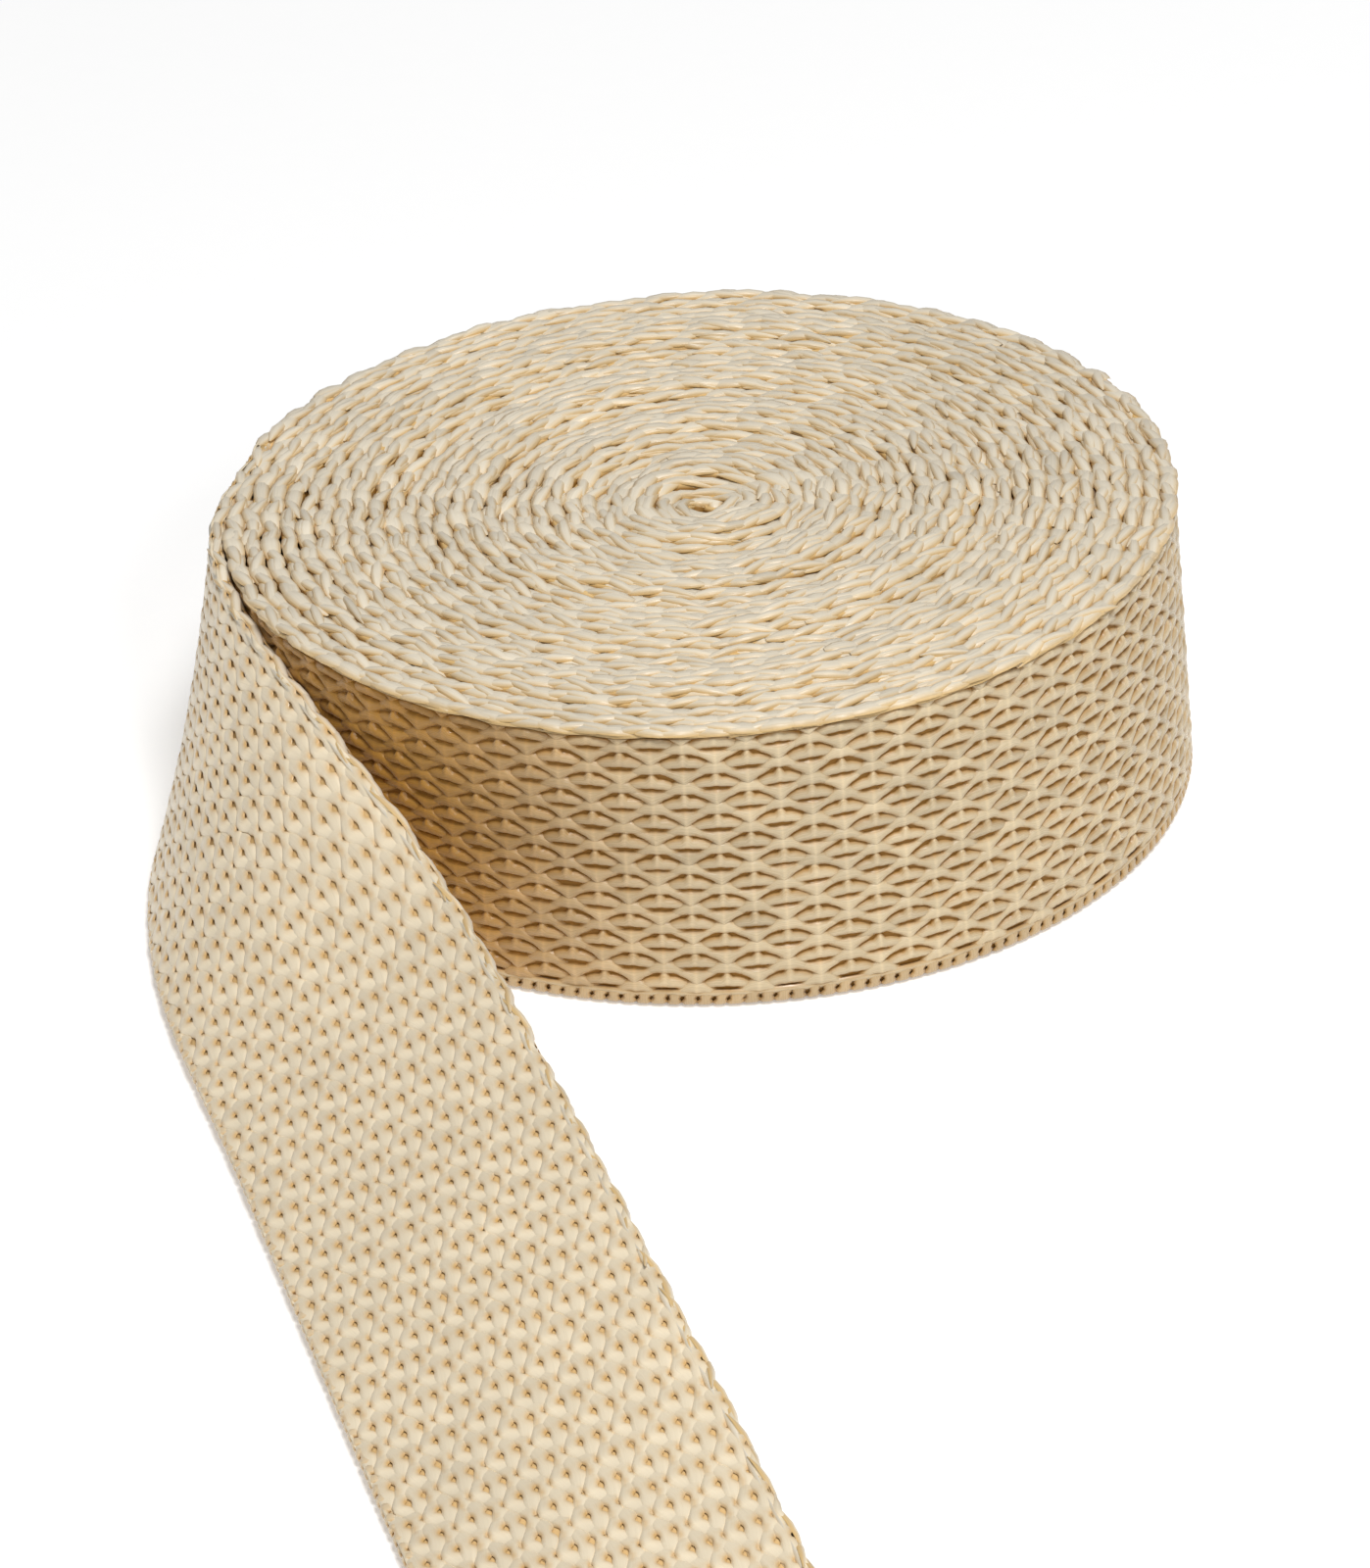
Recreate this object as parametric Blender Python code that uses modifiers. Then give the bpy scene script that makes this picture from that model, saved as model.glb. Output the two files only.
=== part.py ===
"""Roll of woven webbing, lying flat, with its loose end twisting down onto the floor.

The roll's axis is +Z and its underside lies at height zero, with the origin at the middle of
that underside. The turns run outward counter-clockwise seen from above. The last turn leaves
the roll on its left, comes towards the viewer and lies down with its outer face up.
"""
import math

import bmesh
import bpy
from mathutils import Vector

# Webbing
WIDTH = 0.0250
THICKNESS = 0.0013
LAP_PITCH = 0.00131

# Wound form
LAST_LAP_START_RADIUS = 0.0373
FOOT_FLARE = 0.0010
BULGE = 0.0010
BULGE_ANGLE = 185.0
BULGE_SPREAD = 45.0
DEPARTURE_ANGLE = 158.0
STEP_ANGLE = 0.6
RIM_SOFTENING = 0.0006
EYE_RADIUS = 0.0014
EYE_DEPTH = 0.0030
COLUMNS = 96
OUTWARD_LEAN = 0.0017
LEAN_ANGLE = 250.0
LEAN_SPREAD = 50.0
DENT = 0.0006
DENT_ANGLE = 226.0
DENT_SPREAD = 30.0

# Height of the laps' upper edges against the webbing's width: distance from the axis,
# level, and how much the level swings round the turn
LAP_LEVELS = (
    # from_axis, level, swing
    (0.0022, -0.0004, 0.0002),
    (0.0050, 0.0001, 0.0003),
    (0.0085, -0.0002, 0.0002),
    (0.0125, 0.0002, 0.0002),
    (0.0165, 0.0000, 0.0003),
    (0.0205, 0.0002, 0.0002),
    (0.0245, -0.0001, 0.0002),
    (0.0285, 0.0001, 0.0002),
    (0.0320, 0.0002, 0.0001),
    (0.0350, 0.0000, 0.0001),
)

# Loose end: distance along its lower edge, heading of that edge on the floor, lean of the
# strip away from upright, and the direction in which the strip leans
TAIL_STATIONS = (
    # along, heading, lean, lean_towards
    (0.000, 247.0, 0.0, 360.0),
    (0.015, 249.0, 8.0, 361.0),
    (0.030, 267.0, 21.5, 367.0),
    (0.045, 277.5, 38.0, 374.0),
    (0.060, 285.0, 55.0, 372.0),
    (0.080, 284.5, 61.5, 367.5),
    (0.110, 284.5, 68.0, 372.5),
    (0.150, 286.0, 83.0, 379.0),
    (0.172, 286.0, 90.0, 380.0),
)
TAIL_STEPS = 48
TAIL_ROWS = 6
CLEARANCE = 0.0004
BUTT_GAP = 0.0008
EDGE_SOFTENING = 0.0003

FULL_TURN = 360.0


def smooth_table(rows, column, position):
    """Read one column of a table at a position, on smooth curves through its rows."""
    places = [row[0] for row in rows]
    values = [row[column] for row in rows]
    last = len(rows) - 1
    spans = [places[i + 1] - places[i] for i in range(last)]
    rises = [(values[i + 1] - values[i]) / spans[i] for i in range(last)]
    slopes = [rises[0]]
    for i in range(1, last):
        weighted = spans[i] * rises[i - 1] + spans[i - 1] * rises[i]
        slopes.append(weighted / (spans[i] + spans[i - 1]))
    slopes.append(rises[-1])
    index = max(i for i in range(last) if i == 0 or places[i] <= position)
    span = spans[index]
    t = (position - places[index]) / span
    start = values[index] * (2 * t**3 - 3 * t**2 + 1) + span * slopes[index] * (t**3 - 2 * t**2 + t)
    end = values[index + 1] * (3 * t**2 - 2 * t**3) + span * slopes[index + 1] * (t**3 - t**2)
    return start + end


def hump(angle, middle, spread):
    """Give a smooth hump round the roll that is 1 at its middle."""
    offset = (angle - middle + FULL_TURN / 2) % FULL_TURN - FULL_TURN / 2
    return math.exp(-((offset / spread) ** 2))


def outline_radius(angle, height):
    """Give the roll's outer radius; the angle runs one turn up to the departure angle."""
    turned = (angle - (DEPARTURE_ANGLE - FULL_TURN)) / FULL_TURN
    flare = FOOT_FLARE * (1 - height / WIDTH)
    swell = BULGE * hump(angle, BULGE_ANGLE, BULGE_SPREAD)
    swell -= DENT * hump(angle, DENT_ANGLE, DENT_SPREAD)
    swell += OUTWARD_LEAN * (height / WIDTH - 0.5) * hump(angle, LEAN_ANGLE, LEAN_SPREAD)
    return LAST_LAP_START_RADIUS + LAP_PITCH * turned + flare + swell


def wound_profile():
    """List the turned profile from the eye's floor over the top and wall to the underside.

    Returns:
        Rows of distance from the axis, height, and swing of that height round the turn.
    """
    rim = LAST_LAP_START_RADIUS
    cut = RIM_SOFTENING
    corner = cut * (1 - math.sqrt(0.5))
    rows = [
        (0.0, WIDTH - EYE_DEPTH, 0.0),
        (EYE_RADIUS * 0.8, WIDTH - EYE_DEPTH, 0.0),
        (EYE_RADIUS, WIDTH - cut, 0.0),
    ]
    rows += [(from_axis, WIDTH + level, swing) for from_axis, level, swing in LAP_LEVELS]
    rows += [(rim - cut, WIDTH, 0.0), (rim - corner, WIDTH - corner, 0.0), (rim, WIDTH - cut, 0.0)]
    rows += [(rim, WIDTH * share, 0.0) for share in (0.75, 0.5, 0.25)]
    rows += [(rim, cut, 0.0), (rim - corner, corner, 0.0), (rim - cut, 0.0, 0.0)]
    rows += [(rim - 3 * LAP_PITCH, 0.0, 0.0), (0.0, 0.0, 0.0)]
    return rows


def place_on_spiral(vert, swing):
    """Move one point of the turned form out to the spiral outline of the last lap."""
    from_axis = math.hypot(vert.co.x, vert.co.y)
    if from_axis < EYE_RADIUS / 2:
        return
    share = math.degrees(math.atan2(vert.co.y, vert.co.x)) % FULL_TURN / FULL_TURN
    column = round(share * COLUMNS) % COLUMNS
    pitch = (FULL_TURN - STEP_ANGLE) / (COLUMNS - 1)
    angle = DEPARTURE_ANGLE - FULL_TURN + STEP_ANGLE + column * pitch
    reach = (from_axis / LAST_LAP_START_RADIUS) ** 6
    height = vert.co.z
    radius = from_axis + reach * (outline_radius(angle, height) - LAST_LAP_START_RADIUS)
    turn = math.radians(angle)
    wave = swing * math.sin(2 * turn + from_axis / LAP_PITCH)
    vert.co = Vector((radius * math.cos(turn), radius * math.sin(turn), height + wave))


def build_wound_form():
    """Turn the roll's profile and draw it out to the spiral outline."""
    mesh = bpy.data.meshes.new("webbing_roll")
    bm = bmesh.new()
    swings = bm.verts.layers.float.new("swing")
    points = []
    for from_axis, height, swing in wound_profile():
        vert = bm.verts.new((from_axis, 0.0, height))
        vert[swings] = swing
        points.append(vert)
    for first, second in zip(points, points[1:]):
        bm.edges.new((first, second))
    bmesh.ops.spin(
        bm,
        geom=bm.verts[:] + bm.edges[:],
        cent=(0.0, 0.0, 0.0),
        axis=(0.0, 0.0, 1.0),
        angle=math.tau,
        steps=COLUMNS,
        use_merge=True,
    )
    bmesh.ops.remove_doubles(bm, verts=bm.verts, dist=THICKNESS * 0.01)
    for vert in bm.verts:
        place_on_spiral(vert, vert[swings])
    bm.normal_update()
    bmesh.ops.recalc_face_normals(bm, faces=bm.faces)
    bm.to_mesh(mesh)
    bm.free()
    return bpy.data.objects.new("webbing_roll", mesh)


def tail_edges():
    """Lay the loose end's two edges from the roll to its cut end.

    Returns:
        A list of pairs of points on the strip's middle surface, lower edge first.
    """
    turn = math.radians(DEPARTURE_ANGLE)
    middle = outline_radius(DEPARTURE_ANGLE, 0.0) - THICKNESS / 2 + CLEARANCE
    heading = math.radians(TAIL_STATIONS[0][1])
    foot = Vector((middle * math.cos(turn), middle * math.sin(turn), 0.0))
    foot += BUTT_GAP * Vector((math.cos(heading), math.sin(heading), 0.0))
    step = TAIL_STATIONS[-1][0] / TAIL_STEPS
    pairs = []
    for index in range(TAIL_STEPS + 1):
        along = index * step
        lean = math.radians(smooth_table(TAIL_STATIONS, 2, along))
        towards = math.radians(smooth_table(TAIL_STATIONS, 3, along))
        sideways = math.sin(lean)
        across = Vector((sideways * math.cos(towards), sideways * math.sin(towards), math.cos(lean)))
        lower = Vector((foot.x, foot.y, THICKNESS / 2 * math.sin(lean)))
        pairs.append((lower, lower + WIDTH * across))
        if index < TAIL_STEPS:
            heading = math.radians(smooth_table(TAIL_STATIONS, 1, along + step / 2))
            foot += step * Vector((math.cos(heading), math.sin(heading), 0.0))
    return pairs


def build_loose_end():
    """Sweep the strip between its two edges and give it the webbing's thickness."""
    mesh = bpy.data.meshes.new("loose_end")
    bm = bmesh.new()
    bmesh.ops.create_grid(bm, x_segments=TAIL_STEPS, y_segments=TAIL_ROWS, size=0.5)
    pairs = tail_edges()
    for vert in bm.verts:
        lower, upper = pairs[round((vert.co.x + 0.5) * TAIL_STEPS)]
        vert.co = lower.lerp(upper, vert.co.y + 0.5)
    bm.to_mesh(mesh)
    bm.free()
    strip = bpy.data.objects.new("loose_end", mesh)
    solid = strip.modifiers.new("Thickness", "SOLIDIFY")
    solid.thickness = THICKNESS
    solid.offset = 0.0
    solid.use_even_offset = True
    soft = strip.modifiers.new("Selvedge", "BEVEL")
    soft.width = EDGE_SOFTENING
    soft.segments = 1
    soft.limit_method = "ANGLE"
    soft.angle_limit = math.radians(60.0)
    return strip


def webbing_material(name, colour, roughness):
    """Make the plain finish of one piece.

    Args:
        name: Name of the material.
        colour: Linear red, green and blue.
        roughness: Roughness of the surface.

    Returns:
        The material.
    """
    material = bpy.data.materials.new(name)
    material.use_nodes = True
    shader = material.node_tree.nodes["Principled BSDF"]
    shader.inputs["Base Color"].default_value = (*colour, 1.0)
    shader.inputs["Roughness"].default_value = roughness
    shader.inputs["Metallic"].default_value = 0.0
    material.diffuse_color = (*colour, 1.0)
    return material


def main():
    """Clear the scene and build the roll and its loose end."""
    for old in list(bpy.data.objects):
        bpy.data.objects.remove(old, do_unlink=True)
    collection = bpy.data.collections.new("webbing_roll")
    bpy.context.scene.collection.children.link(collection)
    finishes = (
        (build_wound_form(), webbing_material("wound_webbing", (0.66, 0.52, 0.33), 0.6)),
        (build_loose_end(), webbing_material("loose_webbing", (0.70, 0.57, 0.38), 0.6)),
    )
    for piece, material in finishes:
        piece.data.materials.append(material)
        piece.data.shade_smooth()
        piece.data.set_sharp_from_angle(angle=math.radians(35.0))
        collection.objects.link(piece)


main()
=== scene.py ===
"""Roll of woven webbing with a loose end: its turns, yarns, selvedges, finishes and light.

Places on the webbing are given along its length, across its width and off its middle surface.
Along is zero where the last turn leaves the roll, negative on the roll and positive on the
loose end. Across is zero at the edge that stands on the floor. Off is positive on the face that
looks outward. All lengths are metres.
"""
from __future__ import annotations

import logging
import math
from dataclasses import dataclass, field
from enum import Enum

import bpy
import numpy as np
from mathutils import Matrix, Vector

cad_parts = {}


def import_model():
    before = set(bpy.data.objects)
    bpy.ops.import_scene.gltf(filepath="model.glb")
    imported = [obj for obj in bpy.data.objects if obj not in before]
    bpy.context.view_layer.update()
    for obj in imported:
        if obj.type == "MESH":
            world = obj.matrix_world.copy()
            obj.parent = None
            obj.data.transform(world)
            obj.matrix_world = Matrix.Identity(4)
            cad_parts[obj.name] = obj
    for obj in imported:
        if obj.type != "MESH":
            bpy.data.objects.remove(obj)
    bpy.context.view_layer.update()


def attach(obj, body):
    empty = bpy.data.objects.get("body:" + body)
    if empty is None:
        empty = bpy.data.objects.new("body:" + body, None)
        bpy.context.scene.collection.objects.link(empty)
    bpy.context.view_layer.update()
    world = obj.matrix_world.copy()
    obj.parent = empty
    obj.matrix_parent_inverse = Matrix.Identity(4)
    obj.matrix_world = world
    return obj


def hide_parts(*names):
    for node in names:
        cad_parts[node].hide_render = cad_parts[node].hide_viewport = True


LOG = logging.getLogger("webbing")
MM = 0.001
FULL_TURN = 360.0
# Painted shade: the wound webbing has darker, warmer colours than the loose end; they change over
# from PALE_FROM across PALE_OVER.
PALE_FROM = -35.0 * MM
PALE_OVER = 32.0 * MM
RELIEF_DISTANCE = 0.1 * MM

Colour = tuple[float, float, float]
Axes = tuple[float, float, float]
Rows = tuple[tuple[float, ...], ...]


class Face(Enum):
    """Side of the webbing that a yarn lies on."""

    OUTER = 1
    INNER = -1


class Slot(Enum):
    """Names of the record's material slots for the wound and the loose webbing."""

    WOUND = "wound_webbing"
    LOOSE = "loose_webbing"


def smooth_step(value: np.ndarray) -> np.ndarray:
    """Ease a share of 0 to 1 in and out."""
    share = np.clip(value, 0.0, 1.0)
    return share * share * (3.0 - 2.0 * share)


def hump(angle: np.ndarray, middle: float, spread: float) -> np.ndarray:
    """Give a smooth hump round the roll, 1 at its middle, for angles in degrees."""
    offset = (angle - middle + FULL_TURN / 2) % FULL_TURN - FULL_TURN / 2
    return np.exp(-((offset / spread) ** 2))


def paleness(along: np.ndarray) -> np.ndarray:
    """Give how far the webbing has changed from the darker painted shade of its wound colours, 0,
    to the lighter colours of its loose end, 1.
    """
    return smooth_step((along - PALE_FROM) / PALE_OVER)


def in_metres(*rows: tuple[float, ...], plain: int = 0) -> Rows:
    """Turn the rows of a table from millimetres to metres.

    Args:
        rows: The rows.
        plain: Columns at the end of each row that aren't lengths.

    Returns:
        The rows in metres.
    """
    return tuple(
        tuple(value * MM for value in row[: len(row) - plain]) + row[len(row) - plain :]
        for row in rows
    )


def smooth_column(rows: Rows, column: int, at: np.ndarray) -> np.ndarray:
    """Read one column of a table on smooth curves through its rows.

    Args:
        rows: Table whose first column rises.
        column: Column to read.
        at: Positions in the first column.

    Returns:
        The values at those positions.
    """
    places = np.array([row[0] for row in rows])
    values = np.array([row[column] for row in rows])
    spans = np.diff(places)
    rises = np.diff(values) / spans
    inner = (spans[1:] * rises[:-1] + spans[:-1] * rises[1:]) / (spans[1:] + spans[:-1])
    slopes = np.concatenate([rises[:1], inner, rises[-1:]])
    index = np.clip(np.searchsorted(places, at, side="right") - 1, 0, len(spans) - 1)
    span = spans[index]
    t = (at - places[index]) / span
    start = values[index] * (2 * t**3 - 3 * t**2 + 1) + span * slopes[index] * (t**3 - 2 * t**2 + t)
    end = values[index + 1] * (3 * t**2 - 2 * t**3) + span * slopes[index + 1] * (t**3 - t**2)
    return start + end


@dataclass
class WebbingCourse:
    """Where the webbing runs: wound on the roll, then off it and down onto the floor."""

    width: float = 0.0250
    thickness: float = 0.0013
    lap_pitch: float = 0.00131
    start_radius: float = 0.0373
    foot_flare: float = 0.0010
    bulge: float = 0.0010
    bulge_angle: float = 185.0
    bulge_spread: float = 45.0
    dent: float = 0.0006
    dent_angle: float = 226.0
    dent_spread: float = 30.0
    outward_lean: float = 0.0017
    lean_angle: float = 250.0
    lean_spread: float = 50.0
    departure: float = 158.0
    eye_radius: float = 0.0006
    eye_stretch: float = 0.30
    eye_reach: float = 0.0050
    loose_length: float = 0.172
    settle_length: float = 0.015
    roll_samples: int = 12001
    loose_steps: int = 688
    lap_levels: Rows = (
        # from_axis, level, swing
        (0.0000, -0.0006, 0.0002),
        (0.0022, -0.0004, 0.0002),
        (0.0050, 0.0001, 0.0003),
        (0.0085, -0.0002, 0.0002),
        (0.0125, 0.0002, 0.0002),
        (0.0165, 0.0000, 0.0003),
        (0.0205, 0.0002, 0.0002),
        (0.0245, -0.0001, 0.0002),
        (0.0285, 0.0001, 0.0002),
        (0.0320, 0.0002, 0.0001),
        (0.0350, 0.0000, 0.0001),
        (0.0373, 0.0000, 0.0000),
        (0.0400, 0.0000, 0.0000),
    )
    tail_stations: Rows = (
        # along, heading, lean, lean_towards
        (0.000, 247.0, 0.0, 360.0),
        (0.015, 249.0, 8.0, 361.0),
        (0.030, 267.0, 21.5, 367.0),
        (0.045, 277.5, 38.0, 374.0),
        (0.060, 285.0, 55.0, 372.0),
        (0.080, 284.5, 61.5, 367.5),
        (0.110, 284.5, 68.0, 372.5),
        (0.150, 286.0, 83.0, 379.0),
        (0.172, 286.0, 90.0, 380.0),
    )
    turns: np.ndarray = field(init=False)
    wound_along: np.ndarray = field(init=False)
    tail_along: np.ndarray = field(init=False)
    feet: np.ndarray = field(init=False)
    acrosses: np.ndarray = field(init=False)
    outwards: np.ndarray = field(init=False)

    def __post_init__(self) -> None:
        """Measure the wound length and lay the loose end's stations."""
        innermost = (self.eye_radius + self.thickness / 2 - self.start_radius) / self.lap_pitch - 1
        self.turns = np.linspace(innermost, 0.0, self.roll_samples)
        half_up = np.full(self.roll_samples, self.width / 2)
        middle = self.outer_radius(self.turns, half_up) - self.thickness / 2
        swept = np.radians(FULL_TURN) * np.diff(self.turns)
        steps = np.hypot((middle[1:] + middle[:-1]) / 2 * swept, np.diff(middle))
        self.wound_along = np.concatenate([[0.0], np.cumsum(steps)])
        self.wound_along -= self.wound_along[-1]
        self.lay_loose_end()

    def outer_radius(self, turn: np.ndarray, across: np.ndarray) -> np.ndarray:
        """Give the radius of the outward face.

        Args:
            turn: Turns counted back from the departure.
            across: Places across the width.

        Returns:
            The radii.
        """
        angle = self.departure + FULL_TURN * turn
        base = self.start_radius + self.lap_pitch * (turn + 1.0)
        share = across / self.width
        bulge = self.bulge * hump(angle, self.bulge_angle, self.bulge_spread)
        swell = self.foot_flare * (1.0 - share) + bulge
        swell = swell - self.dent * hump(angle, self.dent_angle, self.dent_spread)
        leaning = hump(angle, self.lean_angle, self.lean_spread)
        swell = swell + self.outward_lean * (share - 0.5) * leaning
        return base + np.minimum(base / self.start_radius, 1.0) ** 6 * swell

    def lay_loose_end(self) -> None:
        """Set the lower edge, the cross direction and the outward side down the loose end."""
        self.tail_along = np.linspace(0.0, self.loose_length, self.loose_steps + 1)
        between = (self.tail_along[1:] + self.tail_along[:-1]) / 2
        heading = np.radians(smooth_column(self.tail_stations, 1, between))
        lean = np.radians(smooth_column(self.tail_stations, 2, self.tail_along))
        towards = np.radians(smooth_column(self.tail_stations, 3, self.tail_along))
        step = self.loose_length / self.loose_steps
        foot = self.outer_radius(np.zeros(1), np.zeros(1))[0] - self.thickness / 2
        turn = math.radians(self.departure)
        xs = foot * math.cos(turn) + np.concatenate([[0.0], np.cumsum(step * np.cos(heading))])
        ys = foot * math.sin(turn) + np.concatenate([[0.0], np.cumsum(step * np.sin(heading))])
        self.feet = np.stack([xs, ys, self.thickness / 2 * np.sin(lean)], axis=1)
        sideways = np.sin(lean)
        self.acrosses = np.stack(
            [sideways * np.cos(towards), sideways * np.sin(towards), np.cos(lean)], axis=1
        )
        spine = self.feet + self.acrosses * self.width / 2
        run = np.gradient(spine, axis=0)
        outward = np.cross(run, self.acrosses)
        self.outwards = outward / np.linalg.norm(outward, axis=1, keepdims=True)

    def turn_at(self, along: np.ndarray) -> np.ndarray:
        """Give the turn, counted back from the departure, at a place on the roll."""
        return np.interp(along, self.wound_along, self.turns)

    def along_at(self, turn: float) -> float:
        """Give the place along the webbing at a turn of the roll."""
        return float(np.interp(turn, self.turns, self.wound_along))

    def on_roll(self, turn: np.ndarray, across: np.ndarray, off: np.ndarray) -> np.ndarray:
        """Place points of the wound webbing.

        Args:
            turn: Turns counted back from the departure.
            across: Places across the width.
            off: Distances off the middle surface.

        Returns:
            The points, one row each.
        """
        angle = np.radians(self.departure + FULL_TURN * turn)
        middle = self.outer_radius(turn, across) - self.thickness / 2
        radius = middle + off
        level = smooth_column(self.lap_levels, 1, middle)
        swing = smooth_column(self.lap_levels, 2, middle)
        wave = level + swing * np.sin(2.0 * angle + middle / self.lap_pitch)
        stretch = 1.0 + self.eye_stretch * np.exp(-((middle / self.eye_reach) ** 2))
        xs = radius * np.cos(angle) * stretch
        ys = radius * np.sin(angle)
        zs = across + across / self.width * wave
        return np.stack([xs, ys, zs], axis=-1)

    def on_loose_end(self, along: np.ndarray, across: np.ndarray, off: np.ndarray) -> np.ndarray:
        """Place points of the loose end, eased onto the roll where it leaves it.

        Args:
            along: Places along the loose end.
            across: Places across the width.
            off: Distances off the middle surface.

        Returns:
            The points, one row each.
        """
        foot, cross, outward = (
            np.stack([np.interp(along, self.tail_along, table[:, axis]) for axis in range(3)], -1)
            for table in (self.feet, self.acrosses, self.outwards)
        )
        points = foot + cross * across[..., None] + outward * off[..., None]
        left = 1.0 - smooth_step(along / self.settle_length)
        zero = np.zeros_like(across)
        turn = math.radians(self.departure)
        start_foot = self.outer_radius(zero, zero) - self.outer_radius(zero, across)
        radial = np.array([math.cos(turn), math.sin(turn), 0.0])
        return points - (left * start_foot)[..., None] * radial

    def place(self, along: np.ndarray, across: np.ndarray, off: np.ndarray) -> np.ndarray:
        """Place points anywhere on the webbing.

        Args:
            along: Places along the webbing.
            across: Places across the width.
            off: Distances off the middle surface.

        Returns:
            The points, one row each.
        """
        along, across, off = np.broadcast_arrays(along, across, off)
        wound = self.on_roll(self.turn_at(np.minimum(along, 0.0)), across, off)
        loose = self.on_loose_end(np.maximum(along, 0.0), across, off)
        return np.where((along < 0.0)[..., None], wound, loose)


@dataclass
class WeaveGauge:
    """The repeats of the weave and where its columns fall along the webbing."""

    course: WebbingCourse
    repeat: float = 0.004774
    wound_repeat: float = 0.0048
    row_repeat: float = 0.003585
    front_turn: float = -0.6899
    tail_column: float = 0.07952
    blend_turns: tuple[float, float] = (-0.45, -0.05)
    top_row: float = 0.0236
    loose_top_row: float = 0.0241
    samples: int = 24001
    places: np.ndarray = field(init=False)
    counts: np.ndarray = field(init=False)
    top_rows: np.ndarray = field(init=False)

    def __post_init__(self) -> None:
        """Count the columns on the roll and on the loose end, and join the two counts."""
        begin = self.course.wound_along[0]
        self.places = np.linspace(begin, self.course.loose_length + self.repeat, self.samples)
        wound = (self.places - self.course.along_at(self.front_turn)) / self.wound_repeat
        loose = (self.places - self.tail_column) / self.repeat
        start, end = (self.course.along_at(turn) for turn in self.blend_turns)
        loose = loose + round(float(np.interp(end, self.places, wound - loose)))
        share = smooth_step((self.places - start) / (end - start))
        self.counts = wound * (1.0 - share) + loose * share
        self.top_rows = self.top_row * (1.0 - share) + self.loose_top_row * share

    def along_of(self, count: np.ndarray) -> np.ndarray:
        """Give the place along the webbing at a count of columns."""
        return np.interp(count, self.counts, self.places)

    def count_at(self, along: float) -> float:
        """Give the count of columns at a place along the webbing."""
        return float(np.interp(along, self.places, self.counts))


@dataclass(frozen=True)
class FloatForm:
    """Outline and relief of one kind of float, from its middle to its tip, and the painted
    highlight along its crest.
    """

    name: str
    outline: Rows
    crest: float
    tip: float = 0.10 * MM
    side_drop: float = 0.48 * MM
    roundness: float = 2.1
    # Painted highlight: strength, place and half width of a lighter streak painted along the crest.
    painted_highlight: float = 3.0
    painted_highlight_at: float = 0.0
    painted_highlight_half: float = 0.14 * MM
    ridge_share: float = 0.42
    ridge_softness: float = 0.07

    def half_length(self) -> float:
        """Give the distance from the middle to the tip."""
        return self.outline[-1][0]

    def middle(self) -> float:
        """Give the height of the form's middle above its row."""
        return (self.outline[0][1] + self.outline[0][2]) / 2


WALL_FORMS = (
    FloatForm(
        "lens",
        in_metres(
            # out, upper, lower
            (0.00, 1.12, -0.36),
            (0.14, 1.04, -0.36),
            (0.28, 0.80, -0.38),
            (0.46, 0.57, -0.39),
            (0.80, 0.56, -0.42),
            (1.27, 0.46, -0.54),
            (1.80, 0.26, -0.60),
            (2.30, -0.05, -0.50),
        ),
        crest=0.63 * MM,
        tip=0.16 * MM,
    ),
    FloatForm(
        "wedge",
        in_metres(
            # out, upper, lower
            (0.00, -0.54, -2.20),
            (0.35, -0.58, -1.84),
            (0.60, -0.58, -1.57),
            (0.96, -0.53, -1.36),
            (1.40, -0.40, -1.20),
            (1.75, -0.28, -0.99),
            (2.30, -0.30, -0.86),
        ),
        crest=0.58 * MM,
        tip=0.22 * MM,
    ),
    FloatForm(
        "band",
        in_metres(
            # out, upper, lower
            (0.00, -1.50, -2.78),
            (0.30, -1.52, -2.74),
            (0.60, -1.58, -2.74),
            (0.90, -1.76, -2.86),
            (1.30, -2.04, -2.99),
            (1.90, -2.46, -3.00),
        ),
        crest=0.60 * MM,
        tip=0.24 * MM,
    ),
)
LOOSE_RELIEF = {"side_drop": 0.20 * MM, "roundness": 2.4, "ridge_share": 0.85}
LOOSE_FORMS = (
    FloatForm(
        "lens",
        in_metres(
            # out, upper, lower
            (0.00, 0.46, -0.40),
            (0.14, 0.48, -0.41),
            (0.30, 0.64, -0.48),
            (0.50, 0.74, -0.58),
            (0.85, 0.72, -0.64),
            (1.30, 0.55, -0.66),
            (1.75, 0.36, -0.66),
            (2.35, 0.10, -0.50),
        ),
        crest=0.64 * MM,
        tip=0.34 * MM,
        painted_highlight=0.0,
        **LOOSE_RELIEF,
    ),
    FloatForm(
        "wedge",
        in_metres(
            # out, upper, lower
            (0.00, -0.78, -1.82),
            (0.14, -0.74, -1.84),
            (0.30, -0.56, -1.86),
            (0.50, -0.46, -1.78),
            (1.00, -0.38, -1.50),
            (1.40, -0.34, -1.31),
            (1.80, -0.28, -1.09),
            (2.35, -0.32, -0.97),
        ),
        crest=0.62 * MM,
        tip=0.34 * MM,
        painted_highlight=6.0,
        painted_highlight_at=0.55 * MM,
        painted_highlight_half=0.45 * MM,
        **LOOSE_RELIEF,
    ),
    FloatForm(
        "band",
        in_metres(
            # out, upper, lower
            (0.00, -2.03, -2.70),
            (0.14, -2.00, -2.71),
            (0.30, -1.82, -2.80),
            (0.50, -1.72, -2.92),
            (0.90, -1.80, -3.09),
            (1.30, -2.06, -3.13),
            (1.90, -2.52, -3.06),
        ),
        crest=0.60 * MM,
        tip=0.36 * MM,
        painted_highlight=0.0,
        **LOOSE_RELIEF,
    ),
)
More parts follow.
